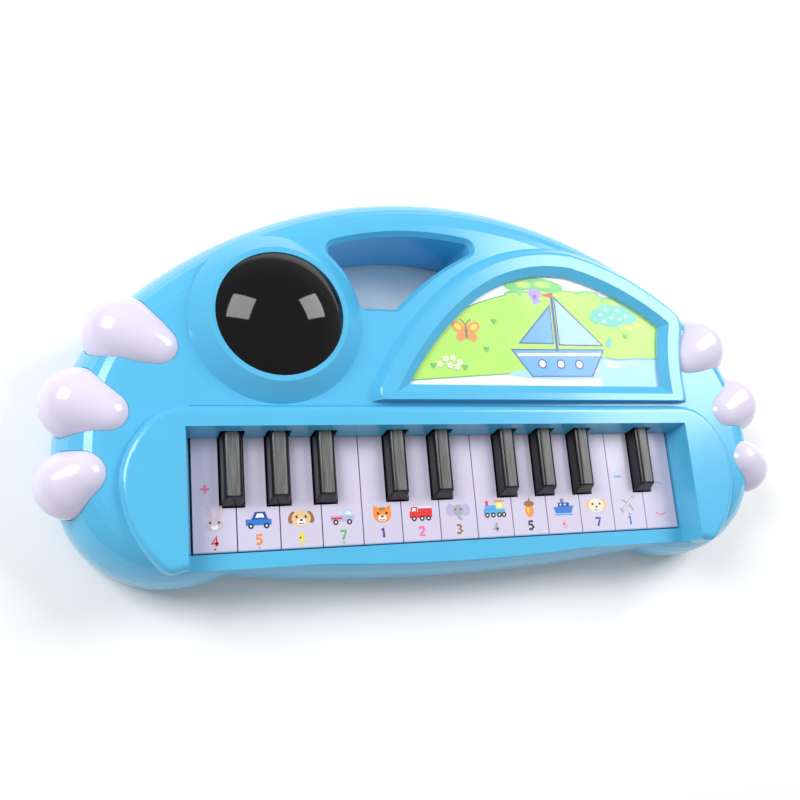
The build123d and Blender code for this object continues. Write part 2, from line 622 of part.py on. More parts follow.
for number in range(1, WHITE_KEYS + 1):
    left = boundary_x(number - 1) + KEY_GAP
    right = boundary_x(number) - KEY_GAP
    arm_left, arm_right = white_arm(number)
    hub_left, hub_right = hub_sides(number)
    middle_x = (arm_left + arm_right) / 2
    notch_y = BLACK_FRONT_Y - 0.6
    neck_y = PIVOT_Y - HUB_RADIUS - 3.5
    with BuildPart() as white_key:
        with BuildSketch(Plane.XY.offset(KEY_TOP_Z - KEY_DEPTH)):
            with BuildLine():
                Polyline(
                    (left, KEY_FRONT_Y),
                    (right, KEY_FRONT_Y),
                    (right, notch_y),
                    (arm_right, notch_y) if number in SHIFTS else (right, notch_y + 1),
                    (arm_right, neck_y),
                    (arm_left, neck_y),
                    (arm_left, notch_y) if number - 1 in SHIFTS else (left, notch_y + 1),
                    (left, notch_y),
                    close=True,
                )
            make_face()
        extrude(amount=KEY_DEPTH)
        # neck and hub round the rod
        with Locations(((hub_left + hub_right) / 2, (neck_y + PIVOT_Y) / 2 - 0.5, PIVOT_Z)):
            Box(hub_right - hub_left, PIVOT_Y - neck_y + 1, 5)
        with Locations(Location(((hub_left + hub_right) / 2, PIVOT_Y, PIVOT_Z), (0, 90, 0))):
            Cylinder(HUB_RADIUS, hub_right - hub_left)
        # soft front edge, hollow underside
        front_edges = white_key.edges().filter_by(Axis.X).group_by(Axis.Y)[0]
        fillet(front_edges.sort_by(Axis.Z)[-1], radius=0.8)
        with Locations(((left + right) / 2, (KEY_FRONT_Y + notch_y) / 2, KEY_TOP_Z - KEY_PLATE)):
            Box(
                right - left - 2 * KEY_SKIRT,
                notch_y - KEY_FRONT_Y - 2 * KEY_SKIRT,
                KEY_DEPTH,
                align=HANGING,
                mode=Mode.SUBTRACT,
            )
        with Locations((middle_x, (notch_y + neck_y) / 2, KEY_TOP_Z - KEY_PLATE)):
            Box(
                arm_right - arm_left - 2 * KEY_SKIRT,
                neck_y - notch_y - 2 * KEY_SKIRT,
                KEY_DEPTH,
                align=HANGING,
                mode=Mode.SUBTRACT,
            )
        # plunger that presses the rubber dome
        with Locations((middle_x, WHITE_PLUNGER_Y, PLUNGER_Z)):
            Box(3.2, 3.2, KEY_TOP_Z - 1 - PLUNGER_Z, align=STANDING)
        with Locations(Location((middle_x, PIVOT_Y, PIVOT_Z), (0, 90, 0))):
            Cylinder(ROD_HOLE, 40, mode=Mode.SUBTRACT)
    write(white_key, f"white_key_{number:02d}")

for index, (boundary, shift) in enumerate(BLACK_KEYS, start=1):
    x = boundary_x(boundary) + shift
    neck_y = PIVOT_Y - HUB_RADIUS - 1.5
    body_length = neck_y - BLACK_FRONT_Y
    with BuildPart() as black_key:
        # body above the white keys: sides lean in, front slopes back, arched top
        with BuildSketch(Plane.XY.offset(KEY_TOP_Z)):
            with Locations((x, (BLACK_FRONT_Y + neck_y) / 2)):
                Rectangle(BLACK_WIDTH, body_length)
        with BuildSketch(Plane.XY.offset(KEY_TOP_Z + BLACK_RISE)):
            with Locations((x, (BLACK_FRONT_Y + BLACK_SLOPE + neck_y) / 2)):
                Rectangle(BLACK_TOP_WIDTH, body_length - BLACK_SLOPE)
        loft()
        top = black_key.faces().sort_by(Axis.Z)[-1]
        fillet(top.edges().filter_by(Axis.Y), radius=2.4)
        fillet(black_key.edges().group_by(Axis.Y)[1], radius=1.0)
        # lower body between the white keys
        with Locations((x, (BLACK_FRONT_Y + neck_y) / 2, KEY_TOP_Z)):
            Box(
                BLACK_WIDTH - 0.2,
                body_length - 0.2,
                KEY_DEPTH - 1,
                align=HANGING,
            )
            Box(
                BLACK_WIDTH - 0.2 - 2 * KEY_SKIRT,
                body_length - 0.2 - 2 * KEY_SKIRT,
                KEY_DEPTH,
                align=HANGING,
                mode=Mode.SUBTRACT,
            )
        with Locations((x, (neck_y + PIVOT_Y) / 2 - 0.5, PIVOT_Z)):
            Box(7, PIVOT_Y - neck_y + 1, 5)
        with Locations(Location((x, PIVOT_Y, PIVOT_Z), (0, 90, 0))):
            Cylinder(HUB_RADIUS, 7)
        with Locations((x, BLACK_PLUNGER_Y, PLUNGER_Z)):
            Box(3.2, 3.2, KEY_TOP_Z + 1 - PLUNGER_Z, align=STANDING)
        with Locations(Location((x, PIVOT_Y, PIVOT_Z), (0, 90, 0))):
            Cylinder(ROD_HOLE, 40, mode=Mode.SUBTRACT)
    write(black_key, f"black_key_{index:02d}")

# ---- key mechanism: rod, rubber mat, contact board ----
with BuildPart() as key_pivot_rod:
    with Locations(Location((0, PIVOT_Y, PIVOT_Z), (0, 90, 0))):
        Cylinder(ROD_RADIUS, 2 * (RECESS_X + WALL - 0.8))
write(key_pivot_rod, "key_pivot_rod")

with BuildPart() as key_contact_board:
    with Locations((0, (KEY_BOARD_LOW_Y + KEY_BOARD_HIGH_Y) / 2, KEY_BOARD_Z)):
        Box(
            2 * KEY_BOARD_HALF,
            KEY_BOARD_HIGH_Y - KEY_BOARD_LOW_Y,
            BOARD_THICK,
            align=STANDING,
        )
    for x, y in KEY_POSTS:
        with Locations((x, y, KEY_BOARD_Z)):
            Cylinder(1.25, 10, mode=Mode.SUBTRACT)
write(key_contact_board, "key_contact_board")

MAT_Z = KEY_BOARD_Z + BOARD_THICK
MAT_THICK = 1.0
MAT_DOME_TOP = PLUNGER_Z - 0.2
with BuildPart() as key_contact_mat:
    with Locations((0, (KEY_BOARD_LOW_Y + KEY_BOARD_HIGH_Y) / 2 - 2.5, MAT_Z)):
        Box(
            2 * KEY_BOARD_HALF - 2,
            KEY_BOARD_HIGH_Y - KEY_BOARD_LOW_Y - 7,
            MAT_THICK,
            align=STANDING,
        )
    dome_places = [(sum(white_arm(number)) / 2, WHITE_PLUNGER_Y) for number in range(1, WHITE_KEYS + 1)]
    dome_places += [(boundary_x(boundary) + shift, BLACK_PLUNGER_Y) for boundary, shift in BLACK_KEYS]
    for x, y in dome_places:
        with Locations((x, y, MAT_Z + MAT_THICK - 0.2)):
            Cone(3.4, 2.0, MAT_DOME_TOP - MAT_Z - MAT_THICK + 0.2, align=STANDING)
write(key_contact_mat, "key_contact_mat")

# ---- sound board ----
with BuildPart() as sound_board:
    with Locations((BOARD_X, BOARD_Y, BOARD_Z)):
        Box(BOARD_LENGTH, BOARD_WIDTH, BOARD_THICK, align=STANDING)
    for x, y in BOARD_POSTS:
        with Locations((x, y, BOARD_Z)):
            Cylinder(1.25, 10, mode=Mode.SUBTRACT)
write(sound_board, "sound_board")

with BuildPart() as sound_chips:
    chips_z = BOARD_Z + BOARD_THICK
    with Locations((BOARD_X - 6, BOARD_Y + 1, chips_z)):
        Cylinder(5.0, 1.6, align=STANDING)
    with Locations((BOARD_X + 11, BOARD_Y + 5, chips_z), (BOARD_X + 11, BOARD_Y - 5, chips_z)):
        Cylinder(3.1, 8, align=STANDING)
    with Locations((BOARD_X - 17, BOARD_Y - 3, chips_z)):
        Box(5, 6, 2, align=STANDING)
write(sound_chips, "sound_chips")

# ---- speaker, facing down on the grille ----
SPEAKER_Z = FOOT_HEIGHT + FLOOR
BASKET_TOP_Z = SPEAKER_Z + 8.5
with BuildPart() as speaker_basket:
    with BuildSketch(Plane.XZ.offset(-SPEAKER_Y)):
        with BuildLine():
            Polyline(
                (SPEAKER_X + SPEAKER_RADIUS, SPEAKER_Z),
                (SPEAKER_X + SPEAKER_RADIUS, SPEAKER_Z + 1.2),
                (SPEAKER_X + 22.5, SPEAKER_Z + 1.2),
                (SPEAKER_X + 15.0, BASKET_TOP_Z),
                (SPEAKER_X, BASKET_TOP_Z),
                (SPEAKER_X, BASKET_TOP_Z - 1.0),
                (SPEAKER_X + 14.3, BASKET_TOP_Z - 1.0),
                (SPEAKER_X + 21.6, SPEAKER_Z + 0.6),
                (SPEAKER_X + 21.6, SPEAKER_Z),
                close=True,
            )
        make_face()
    revolve(axis=Axis((SPEAKER_X, SPEAKER_Y, 0), (0, 0, 1)))
write(speaker_basket, "speaker_basket")

with BuildPart() as speaker_cone:
    with BuildSketch(Plane.XZ.offset(-SPEAKER_Y)):
        with BuildLine():
            Polyline(
                (SPEAKER_X + 21.4, SPEAKER_Z + 0.3),
                (SPEAKER_X + 20.9, SPEAKER_Z + 0.9),
                (SPEAKER_X + 8.5, BASKET_TOP_Z - 1.6),
                (SPEAKER_X, BASKET_TOP_Z - 3.4),
                (SPEAKER_X, BASKET_TOP_Z - 4.2),
                (SPEAKER_X + 8.0, BASKET_TOP_Z - 2.4),
                close=True,
            )
        make_face()
    revolve(axis=Axis((SPEAKER_X, SPEAKER_Y, 0), (0, 0, 1)))
write(speaker_cone, "speaker_cone")

with BuildPart() as speaker_magnet:
    with Locations((SPEAKER_X, SPEAKER_Y, BASKET_TOP_Z)):
        Cylinder(13.0, 7.5, align=STANDING)
    fillet(speaker_magnet.faces().sort_by(Axis.Z)[-1].edges(), radius=0.6)
write(speaker_magnet, "speaker_magnet")

# ---- batteries ----
with BuildPart() as battery_door:
    with Locations((BATTERY_X, BATTERY_Y, FOOT_HEIGHT)):
        Box(
            BAY_LENGTH - 0.6,
            BAY_WIDTH - 0.6,
            FLOOR - 0.2,
            align=STANDING,
        )
    with Locations((BATTERY_X, TAB_Y + 0.6, FOOT_HEIGHT)):
        Box(TAB_WIDTH, TAB_LENGTH, FLOOR - 0.2, align=STANDING)
    with Locations((BATTERY_X, TAB_Y, FOOT_HEIGHT)):
        Cylinder(SCREW_RADIUS + 0.1, 10, mode=Mode.SUBTRACT)
        Cylinder(2.7, 2 * 1.0, mode=Mode.SUBTRACT)
write(battery_door, "battery_door")

with BuildPart() as battery_door_screw:
    with Locations((BATTERY_X, TAB_Y, FOOT_HEIGHT)):
        Cylinder(2.5, 0.9, align=STANDING)
        Cylinder(SCREW_RADIUS, 7.0, align=STANDING)
        Box(3.4, 0.6, 0.9, mode=Mode.SUBTRACT)
        Box(0.6, 3.4, 0.9, mode=Mode.SUBTRACT)
write(battery_door_screw, "battery_door_screw")

CELL_RADIUS = 7.1
CELL_LENGTH = 50.5
NUB_LENGTH = 1.0
CELL_PITCH = 14.7
CELL_Z = FOOT_HEIGHT + FLOOR + 0.1 + CELL_RADIUS
PLATE_THICK = 0.4
PLATE_X = BAY_LENGTH / 2 - 0.1 - PLATE_THICK
CELL_ROWS = ((-1, -1), (0, 1), (1, -1))   # place across the bay, and which way the nub points
with BuildPart() as battery_cells:
    for row, facing in CELL_ROWS:
        nub_x = BATTERY_X + facing * (PLATE_X - NUB_LENGTH)
        with Locations(Location((nub_x, BATTERY_Y + row * CELL_PITCH, CELL_Z), (0, 90 * facing, 0))):
            Cylinder(
                CELL_RADIUS,
                CELL_LENGTH - NUB_LENGTH,
                align=HANGING,
            )
            Cylinder(2.6, NUB_LENGTH - 0.02, align=STANDING)
write(battery_cells, "battery_cells")

with BuildPart() as battery_plates:
    for end in (-1, 1):
        with Locations((BATTERY_X + end * (PLATE_X + PLATE_THICK / 2), BATTERY_Y, CELL_Z)):
            Box(PLATE_THICK, 3 * CELL_PITCH - 3, 11)
write(battery_plates, "battery_plates")

SPRING_WIRE = 0.35
SPRING_TURNS = 4
with BuildPart() as battery_springs:
    for row, facing in CELL_ROWS:
        plate_x = BATTERY_X - facing * (PLATE_X - SPRING_WIRE - 0.02)
        length = 2 * PLATE_X - CELL_LENGTH - 2 * SPRING_WIRE - 0.06
        with BuildLine(mode=Mode.PRIVATE) as coil:
            Helix(
                pitch=length / SPRING_TURNS,
                height=length,
                radius=4.6,
                center=(plate_x, BATTERY_Y + row * CELL_PITCH, CELL_Z),
                direction=(facing, 0, 0),
                cone_angle=-12,
            )
        with BuildSketch(Plane(origin=coil.line @ 0, z_dir=coil.line % 0), mode=Mode.PRIVATE) as wire:
            Circle(SPRING_WIRE)
        add(sweep(wire.sketch, path=coil.line, is_frenet=True, mode=Mode.PRIVATE))
write(battery_springs, "battery_springs")

# ---- power switch ----
SWITCH_Z = FOOT_HEIGHT + FLOOR
with BuildPart() as switch_housing:
    with Locations((SWITCH_X, SWITCH_Y, SWITCH_Z)):
        Box(18, 9, 6.5, align=STANDING)
        Box(14, 6.4, 2 * 4.0, mode=Mode.SUBTRACT)
write(switch_housing, "switch_housing")

KNOB_TRAVEL = 4.0
with BuildPart() as switch_knob:
    with Locations((SWITCH_X - KNOB_TRAVEL / 2, SWITCH_Y, SWITCH_Z + 0.3)):
        Box(9.4, 5.8, 2.6, align=STANDING)
    with Locations((SWITCH_X - KNOB_TRAVEL / 2, SWITCH_Y, 0.8)):
        Box(5.0, 5.0, SWITCH_Z - 0.4, align=STANDING)
    for groove in (-1.4, 0, 1.4):
        with Locations((SWITCH_X - KNOB_TRAVEL / 2 + groove, SWITCH_Y, 0.8)):
            Box(0.6, 5.0, 0.6, mode=Mode.SUBTRACT)
write(switch_knob, "switch_knob")

# ---- feet and fasteners ----
with BuildPart() as rubber_feet:
    for x, y in FEET:
        with Locations((x, y, 0)):
            Cylinder(FOOT_RADIUS - 0.05, FOOT_HEIGHT + 0.5, align=STANDING)
    fillet(rubber_feet.faces().group_by(Axis.Z)[0].edges(), radius=0.7)
write(rubber_feet, "rubber_feet")

SCREW_HEAD_Z = FOOT_HEIGHT + 1.5
with BuildPart() as case_screws:
    for x, y in BOSS_PLACES:
        with Locations((x, y, SCREW_HEAD_Z)):
            Cylinder(2.8, 2.0, align=STANDING)
            Cylinder(SCREW_RADIUS, 19.0, align=STANDING)
        with Locations((x, y, SCREW_HEAD_Z)):
            Box(3.6, 0.7, 1.8, mode=Mode.SUBTRACT)
            Box(0.7, 3.6, 1.8, mode=Mode.SUBTRACT)
write(case_screws, "case_screws")

with BuildPart() as board_screws:
    for (x, y), board_top in [(place, KEY_BOARD_Z + BOARD_THICK) for place in KEY_POSTS] + [
        (place, BOARD_Z + BOARD_THICK) for place in BOARD_POSTS
    ]:
        with Locations((x, y, board_top)):
            Cylinder(2.0, 1.2, align=STANDING)
            Cylinder(0.9, 5.5, align=HANGING)
    with Locations((DOME_X, DOME_Y, LAMP_BOARD_Z)):
        with PolarLocations(LAMP_POSTS, 3, start_angle=30):
            Cylinder(2.0, 1.2, align=HANGING)
            Cylinder(0.9, 5.0, align=STANDING)
write(board_screws, "board_screws")

# ---- wires inside the case ----
WIRE_RADIUS = 0.6


def write_leads(routes, name):
    """A group of wires, each along its own route."""
    with BuildPart() as leads:
        for points, radii in routes:
            add(tube(points, radii, WIRE_RADIUS))
    write(leads, name)


WIRE_Z = 22.0
sound_edge_x = BOARD_X + BOARD_LENGTH / 2
battery_routes = [
    (
        [
            (sound_edge_x + 0.2, BOARD_Y + dy, BOARD_Z + 0.8),
            (sound_edge_x + 12, BOARD_Y + dy, BOARD_Z + 0.8),
            (BATTERY_LOW_X - 12, BOARD_Y - 4 + dy, BOARD_Z + 4),
            (BATTERY_LOW_X - 0.1, BOARD_Y - 4 + dy, BOARD_Z + 4),
        ],
        [9, 9],
    )
    for dy in (-1.0, 1.0)
]
write_leads(battery_routes, "battery_leads")

speaker_routes = [
    (
        [
            (SPEAKER_X + dy, SPEAKER_Y + 6, BASKET_TOP_Z + 7.6),
            (SPEAKER_X + dy, SPEAKER_Y + 6, WIRE_Z + 3),
            (BATTERY_HIGH_X + 3, SPEAKER_Y + 6 + dy, WIRE_Z + 2),
            (BATTERY_X + 12, BATTERY_HIGH_Y - 12 + dy, WIRE_Z),
            (BATTERY_X - 10, BATTERY_HIGH_Y - 16 + dy, WIRE_Z),
            (BATTERY_LOW_X - 6, BATTERY_Y - 2 + dy, WIRE_Z + 0.5),
            (sound_edge_x + 14, BOARD_Y + 6 + dy, BOARD_Z + 5),
            (sound_edge_x - 2, BOARD_Y + 6 + dy, BOARD_Z + BOARD_THICK + 1.2),
        ],
        [1.6, 5, 8, 8, 8, 5],
    )
    for dy in (-1.0, 1.0)
]
write_leads(speaker_routes, "speaker_leads")

lamp_routes = [
    (
        [
            (BOARD_X + 2 + dx, BOARD_Y + 10, BOARD_Z + BOARD_THICK + 0.1),
            (BOARD_X + 2 + dx, BOARD_Y + 10, BOARD_Z + BOARD_THICK + 9),
            (BOARD_X + 4 + dx, BOARD_Y + 16, LAMP_BOARD_Z - 7),
            (BOARD_X + 4 + dx, BOARD_Y + 16, LAMP_BOARD_Z - 0.1),
        ],
        [3, 3],
    )
    for dx in (-1.0, 1.0)
]
write_leads(lamp_routes, "lamp_leads")
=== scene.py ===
import math

import bpy
import numpy as np
from mathutils import Matrix, Vector


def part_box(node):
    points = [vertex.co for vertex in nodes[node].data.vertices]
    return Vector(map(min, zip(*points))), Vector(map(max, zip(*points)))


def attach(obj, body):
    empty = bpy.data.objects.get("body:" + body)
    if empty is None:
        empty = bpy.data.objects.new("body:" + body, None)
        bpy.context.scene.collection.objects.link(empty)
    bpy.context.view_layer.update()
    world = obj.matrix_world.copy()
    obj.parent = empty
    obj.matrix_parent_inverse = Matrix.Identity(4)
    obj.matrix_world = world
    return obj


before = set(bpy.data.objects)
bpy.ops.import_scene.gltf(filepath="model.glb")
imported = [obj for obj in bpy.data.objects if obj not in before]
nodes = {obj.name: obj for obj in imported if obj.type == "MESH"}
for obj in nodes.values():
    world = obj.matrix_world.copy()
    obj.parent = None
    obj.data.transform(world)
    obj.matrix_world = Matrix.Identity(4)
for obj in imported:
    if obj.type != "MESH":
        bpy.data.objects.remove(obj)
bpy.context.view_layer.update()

# ---------------------------------------------------------------------------
# Camera: held in front of the keyboard and to its left, looking steeply down,
# with a slight roll, as a catalogue picture of a toy on a table.
camera_data = bpy.data.cameras.new("camera")
camera_data.sensor_width = 36.0
camera_data.lens = 39.55
camera = bpy.data.objects.new("camera", camera_data)
bpy.context.scene.collection.objects.link(camera)
camera_right = Vector((0.93761, -0.08038, 0.33828))
camera_up = Vector((-0.00355, 0.97065, 0.24047))
camera_back = Vector((-0.34768, -0.22667, 0.90980))
turn = Matrix((camera_right, camera_up, camera_back)).transposed()
camera.matrix_world = Matrix.Translation((-0.15259, -0.09604, 0.36908)) @ turn.to_4x4()
bpy.context.scene.camera = camera
bpy.context.scene.view_settings.view_transform = "Standard"

# ---------------------------------------------------------------------------
# Studio: a plain white table, two soft boxes at about 45 degrees on either side,
# and an even white surround that fills the shadows.


def plain_material(name, colour, roughness):
    """A principled material of one colour and roughness, for the table."""
    material = bpy.data.materials.new(name)
    material.use_nodes = True
    shader = material.node_tree.nodes["Principled BSDF"]
    shader.inputs["Base Color"].default_value = (*colour, 1)
    shader.inputs["Roughness"].default_value = roughness
    return material


floor_mesh = bpy.data.meshes.new("floor")
REACH = 4
corners = [(-REACH, -REACH, 0), (REACH, -REACH, 0), (REACH, REACH, 0), (-REACH, REACH, 0)]
floor_mesh.from_pydata(corners, [], [(0, 1, 2, 3)])
floor = bpy.data.objects.new("floor", floor_mesh)
bpy.context.scene.collection.objects.link(floor)
floor.data.materials.append(plain_material("table_white", (0.95, 0.95, 0.95), 0.6))

world = bpy.data.worlds.new("studio")
bpy.context.scene.world = world
world.use_nodes = True
world.node_tree.nodes["Background"].inputs["Color"].default_value = (1.0, 1.0, 1.0, 1)
world.node_tree.nodes["Background"].inputs["Strength"].default_value = 0.40


def soft_box(name, place, target, width, height, power):
    """A rectangular area light at place, turned to face target."""
    data = bpy.data.lights.new(name, "AREA")
    data.shape = "RECTANGLE"
    data.size = width
    data.size_y = height
    data.energy = power
    light = bpy.data.objects.new(name, data)
    bpy.context.scene.collection.objects.link(light)
    aim = (Vector(target) - Vector(place)).to_track_quat("-Z", "Y")
    light.matrix_world = Matrix.Translation(place) @ aim.to_matrix().to_4x4()
    return light


BOX_WIDE, BOX_HIGH, BOX_POWER = 0.50, 0.55, 8.0
AIM = (0, 0, 0.02)
soft_box("soft_box_left", (-0.75, 0.35, 0.75), AIM, BOX_WIDE, BOX_HIGH, BOX_POWER)
soft_box("soft_box_right", (0.75, 0.40, 0.75), AIM, BOX_WIDE, BOX_HIGH, BOX_POWER)

# ---------------------------------------------------------------------------
# Moulded finish: injection-moulded plastic is nearly even in colour, with a faint
# cloudiness, a soft waviness of the skin and finer handling marks in its gloss.


def moulded_finish_group():
    """Node group: colour varied by slow noise, roughness by finer noise, and a
    height made of slow and fine noise added together."""
    group = bpy.data.node_groups.new("moulded_finish", "ShaderNodeTree")
    for name, kind, value in (
        ("Color", "NodeSocketColor", (0.5, 0.5, 0.5, 1)),
        ("Clouding", "NodeSocketFloat", 0.04),
        ("Roughness", "NodeSocketFloat", 0.2),
        ("Marks", "NodeSocketFloat", 0.05),
        ("Scale", "NodeSocketFloat", 60.0),
    ):
        socket = group.interface.new_socket(name=name, in_out="INPUT", socket_type=kind)
        socket.default_value = value
    for name, kind in (
        ("Color", "NodeSocketColor"),
        ("Roughness", "NodeSocketFloat"),
        ("Height", "NodeSocketFloat"),
    ):
        group.interface.new_socket(name=name, in_out="OUTPUT", socket_type=kind)
    n = group.nodes
    link = group.links.new
    start = n.new("NodeGroupInput")
    end = n.new("NodeGroupOutput")
    where = n.new("ShaderNodeTexCoord")
    slow = n.new("ShaderNodeTexNoise")
    link(where.outputs["Object"], slow.inputs["Vector"])
    link(start.outputs["Scale"], slow.inputs["Scale"])
    slow.inputs["Detail"].default_value = 2.0
    faster = n.new("ShaderNodeMath")
    faster.operation = "MULTIPLY"
    faster.inputs[1].default_value = 14.0
    link(start.outputs["Scale"], faster.inputs[0])
    fine = n.new("ShaderNodeTexNoise")
    link(where.outputs["Object"], fine.inputs["Vector"])
    link(faster.outputs[0], fine.inputs["Scale"])
    fine.inputs["Detail"].default_value = 4.0
    # brightness runs from 1 - clouding to 1 as the slow noise runs from 0.25 to 0.75
    shade = n.new("ShaderNodeMapRange")
    shade.inputs["From Min"].default_value = 0.25
    shade.inputs["From Max"].default_value = 0.75
    link(slow.outputs["Fac"], shade.inputs["Value"])
    low = n.new("ShaderNodeMath")
    low.operation = "SUBTRACT"
    low.inputs[0].default_value = 1.0
    link(start.outputs["Clouding"], low.inputs[1])
    link(low.outputs[0], shade.inputs["To Min"])
    shade.inputs["To Max"].default_value = 1.0
    tint = n.new("ShaderNodeVectorMath")
    tint.operation = "SCALE"
    link(start.outputs["Color"], tint.inputs[0])
    link(shade.outputs["Result"], tint.inputs["Scale"])
    link(tint.outputs["Vector"], end.inputs["Color"])
    # roughness = roughness + marks * fine noise
    rough = n.new("ShaderNodeMath")
    rough.operation = "MULTIPLY_ADD"
    link(fine.outputs["Fac"], rough.inputs[0])
    link(start.outputs["Marks"], rough.inputs[1])
    link(start.outputs["Roughness"], rough.inputs[2])
    link(rough.outputs[0], end.inputs["Roughness"])
    height = n.new("ShaderNodeMath")
    height.operation = "MULTIPLY_ADD"
    link(fine.outputs["Fac"], height.inputs[0])
    height.inputs[1].default_value = 0.12
    link(slow.outputs["Fac"], height.inputs[2])
    link(height.outputs[0], end.inputs["Height"])
    return group


moulded_finish = moulded_finish_group()


def moulded(
    name, colour, roughness=0.2, marks=0.08, clouding=0.04, scale=60.0, bump=0.03, **shader_values
):
    """A moulded-plastic material: the shared finish feeds colour, roughness and bump."""
    material = bpy.data.materials.new(name)
    material.use_nodes = True
    tree = material.node_tree
    shader = tree.nodes["Principled BSDF"]
    finish = tree.nodes.new("ShaderNodeGroup")
    finish.node_tree = moulded_finish
    finish.inputs["Color"].default_value = (*colour, 1)
    finish.inputs["Clouding"].default_value = clouding
    finish.inputs["Roughness"].default_value = roughness
    finish.inputs["Marks"].default_value = marks
    finish.inputs["Scale"].default_value = scale
    tree.links.new(finish.outputs["Color"], shader.inputs["Base Color"])
    tree.links.new(finish.outputs["Roughness"], shader.inputs["Roughness"])
    skin = tree.nodes.new("ShaderNodeBump")
    skin.inputs["Strength"].default_value = bump
    skin.inputs["Distance"].default_value = 0.0005
    tree.links.new(finish.outputs["Height"], skin.inputs["Height"])
    tree.links.new(skin.outputs["Normal"], shader.inputs["Normal"])
    for socket, value in shader_values.items():
        shader.inputs[socket.replace("_", " ")].default_value = value
    return material


def wear(node, material):
    """Give a CAD node its finished material in every slot."""
    slots = nodes[node].data.materials
    if not slots:
        slots.append(material)
    for index in range(len(slots)):
        slots[index] = material


# ---------------------------------------------------------------------------
# Case: two glossy sky-blue ABS mouldings, screwed together from below, and the
# battery door in the same plastic.
case_blue = moulded(
    "case_blue", (0.090, 0.490, 0.790), roughness=0.17, Coat_Weight=0.25, Coat_Roughness=0.12
)
for node in ("upper_shell", "lower_shell", "battery_door"):
    wear(node, case_blue)

# ---------------------------------------------------------------------------
# Claws: six lavender-white glossy inserts, clipped into sockets in the case.
claw_white = moulded(
    "claw_white", (0.74, 0.69, 0.86), roughness=0.14, Coat_Weight=0.3, Coat_Roughness=0.1
)
for node in nodes:
    if node.startswith("claw_"):
        wear(node, claw_white)

# ---------------------------------------------------------------------------
# Keys: white keys of satin lavender-white plastic, black keys of glossy black
# whose up-facing crown is satin and painted a streaked dark grey, a painted reflection of the overhead
# light.
key_white = moulded("key_white", (0.65, 0.61, 0.78), roughness=0.28, Coat_Weight=0.15)
key_black = moulded("key_black", (0.006, 0.006, 0.007), roughness=0.2, clouding=0.2)


def paint_crown_reflection(material):
    """Mix roughness towards satin and base colour towards a painted reflection grey where the face looks
    up:
    mask = clamp((normal z - 0.93) / 0.06) * streaks that run along the key."""
    tree = material.node_tree
    n = tree.nodes
    link = tree.links.new
    shader = n["Principled BSDF"]
    facing = n.new("ShaderNodeNewGeometry")
    parts = n.new("ShaderNodeSeparateXYZ")
    link(facing.outputs["Normal"], parts.inputs[0])
    upward = n.new("ShaderNodeMapRange")
    upward.inputs["From Min"].default_value = 0.93
    upward.inputs["From Max"].default_value = 0.99
    link(parts.outputs["Z"], upward.inputs["Value"])
    where = n.new("ShaderNodeTexCoord")
    stretch = n.new("ShaderNodeVectorMath")
    stretch.operation = "MULTIPLY"
    stretch.inputs[1].default_value = (1.0, 0.04, 1.0)
    link(where.outputs["Object"], stretch.inputs[0])
    streak = n.new("ShaderNodeTexNoise")
    streak.inputs["Scale"].default_value = 2200.0
    streak.inputs["Detail"].default_value = 3.0
    link(stretch.outputs["Vector"], streak.inputs["Vector"])
    mask = n.new("ShaderNodeMath")
    mask.operation = "MULTIPLY"
    link(upward.outputs["Result"], mask.inputs[0])
    link(streak.outputs["Fac"], mask.inputs[1])
    # the crown's grey base colour is a painted reflection of the overhead light; its higher roughness is
    # a satin finish
    for name, kind, painted_grey_and_roughness in (("Base Color", "RGBA", (0.26, 0.26, 0.26, 1)), ("Roughness", "FLOAT", 0.5)):
        before = shader.inputs[name].links[0].from_socket
        blend = n.new("ShaderNodeMix")
        blend.data_type = kind
        low, high, out = (6, 7, 2) if kind == "RGBA" else (2, 3, 0)
        link(mask.outputs[0], blend.inputs["Factor"])
        link(before, blend.inputs[low])
        blend.inputs[high].default_value = painted_grey_and_roughness
        link(blend.outputs[out], shader.inputs[name])


# black key tops: painted reflection of the overhead light, in streaked grey
paint_crown_reflection(key_black)
for node in nodes:
    if node.startswith("white_key"):
        wear(node, key_white)
    if node.startswith("black_key"):
        wear(node, key_black)

# ---------------------------------------------------------------------------
# Dome: smoked plastic, nearly black, over a reflector of vacuum-silvered plastic.
lens_smoke = moulded(
    "lens_smoke", (0.002, 0.002, 0.003), roughness=0.04, marks=0.03, clouding=0.2, Specular_IOR_Level=0.35
)
wear("dome_lens", lens_smoke)
silvered = moulded("silvered", (0.80, 0.81, 0.83), roughness=0.12, Metallic=1.0)
wear("lamp_reflector", silvered)
led_clear = moulded("led_clear", (0.75, 0.25, 0.20), roughness=0.1, Coat_Weight=0.5)
wear("lamp_leds", led_clear)

# ---------------------------------------------------------------------------
# Inside parts: tan phenolic boards with a mottled face, black potted chips,
# grey moulded rubber, plated steel, a sintered magnet, a doped paper cone, zinc
# cells in a printed sleeve, and vinyl-covered wires.
board_tan = moulded(
    "board_tan", (0.62, 0.38, 0.14), roughness=0.45, marks=0.2, clouding=0.3, scale=240.0
)
chip_black = moulded("chip_black", (0.015, 0.015, 0.018), roughness=0.35, marks=0.15, clouding=0.3)
rubber_grey = moulded("rubber_grey", (0.30, 0.31, 0.33), roughness=0.6, marks=0.2, clouding=0.12)
rubber_black = moulded(
    "rubber_black", (0.02, 0.02, 0.022), roughness=0.65, marks=0.2, clouding=0.25, bump=0.2
)
plated_steel = moulded(
    "plated_steel", (0.66, 0.66, 0.68), roughness=0.22, marks=0.2, scale=300.0, Metallic=1.0
)
magnet_grey = moulded(
    "magnet_grey", (0.07, 0.07, 0.08), roughness=0.5, marks=0.2, clouding=0.3, bump=0.15
)
cone_paper = moulded(
    "cone_paper", (0.03, 0.03, 0.03), roughness=0.75, marks=0.2, clouding=0.4, scale=400.0, bump=0.3
)
cell_sleeve = moulded(
    "cell_sleeve", (0.55, 0.40, 0.06), roughness=0.25, marks=0.1, clouding=0.15, Metallic=0.4
)
